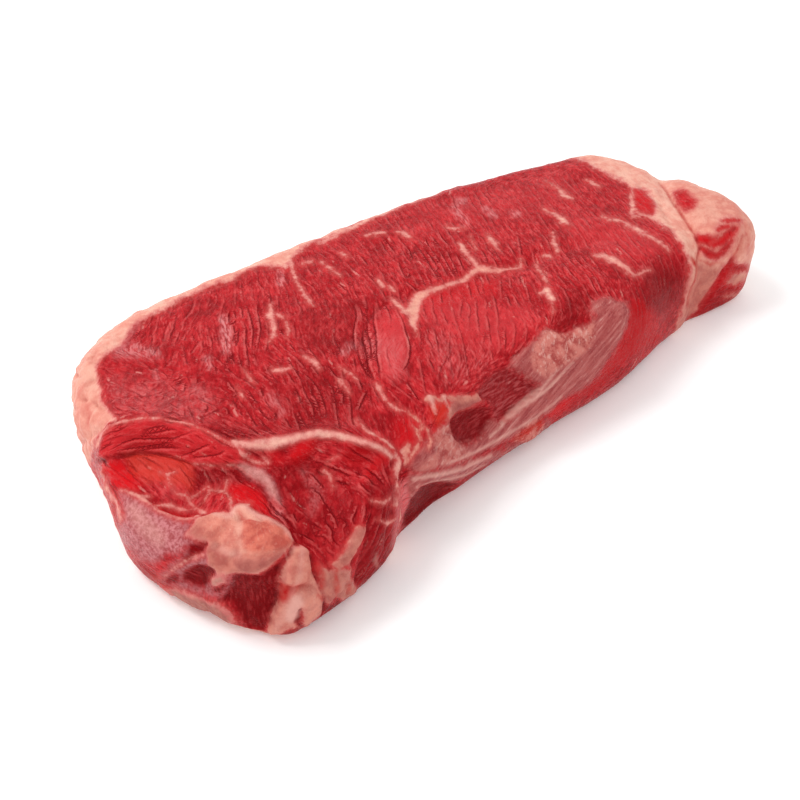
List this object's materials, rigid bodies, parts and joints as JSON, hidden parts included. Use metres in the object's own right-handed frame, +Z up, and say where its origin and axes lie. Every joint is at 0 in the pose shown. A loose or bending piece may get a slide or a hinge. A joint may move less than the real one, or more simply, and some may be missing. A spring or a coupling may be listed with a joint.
{
  "type": "raw beef strip steak",
  "caption": "Raw boneless strip loin steak lying flat, with marbled lean, a fat cap along one long side and a folded tail end.",
  "frame": {"origin": "on the table under the middle of the steak's bounding box", "axes": "+X along the steak from the folded tail to the fat end, +Y across it from the bone side to the fat cap, +Z up out of the upper cut face"},
  "size_m": [0.2122, 0.1006, 0.0291],
  "materials": {
    "meat": "moist raw beef, deep red lean with cream fat"
  },
  "bodies": {
    "root": {"steak": "meat"}
  },
  "joints": []
}
